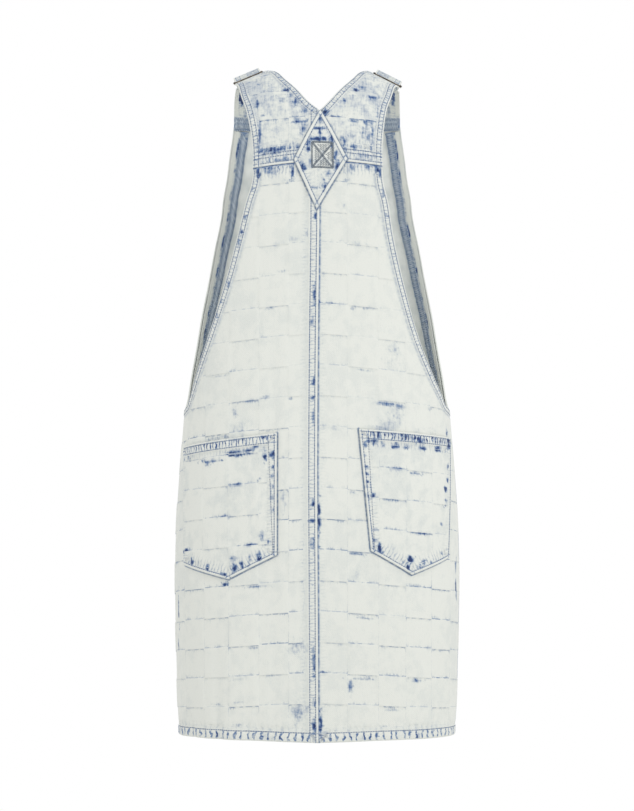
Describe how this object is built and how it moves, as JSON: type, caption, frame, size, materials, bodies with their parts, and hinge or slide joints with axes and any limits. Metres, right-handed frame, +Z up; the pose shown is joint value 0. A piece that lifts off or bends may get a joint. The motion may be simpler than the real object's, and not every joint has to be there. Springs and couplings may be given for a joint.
{
  "type": "denim pinafore mini dress",
  "caption": "Sleeveless denim pinafore dress with V-neck yoke straps on wire slides, deep armholes, lapped back seam, crosspatch and pointed patch pockets.",
  "frame": {"origin": "midway between the shoulders, at the height of the strap cloth where the wearer's shoulders carry it", "axes": "+Z up, +Y to the front of the dress, +X to the wearer's right"},
  "size_m": [0.3694, 0.2421, 0.8712],
  "materials": {
    "denim": "bleached basket-weave cotton denim, matt",
    "denim_inside": "plain light grey inside of the denim, matt",
    "overlock_thread": "grey polyester thread, matt",
    "topstitch_thread": "faded cotton core thread, matt",
    "slide_metal": "dark antiqued wire, satin"
  },
  "bodies": {
    "root": {"back_left": "denim", "back_right": "denim", "back_yoke_left": "denim", "back_yoke_right": "denim", "diamond_patch": "denim", "pocket_left": "denim", "pocket_right": "denim", "front_panel": "denim", "armhole_facing_left": "denim_inside", "armhole_facing_right": "denim_inside", "front_strap_left": "denim_inside", "front_strap_right": "denim_inside", "back_strap_end_left": "denim", "back_strap_end_right": "denim", "front_strap_end_left": "denim", "front_strap_end_right": "denim", "strap_slide_left": "slide_metal", "strap_slide_right": "slide_metal"}
  },
  "joints": []
}
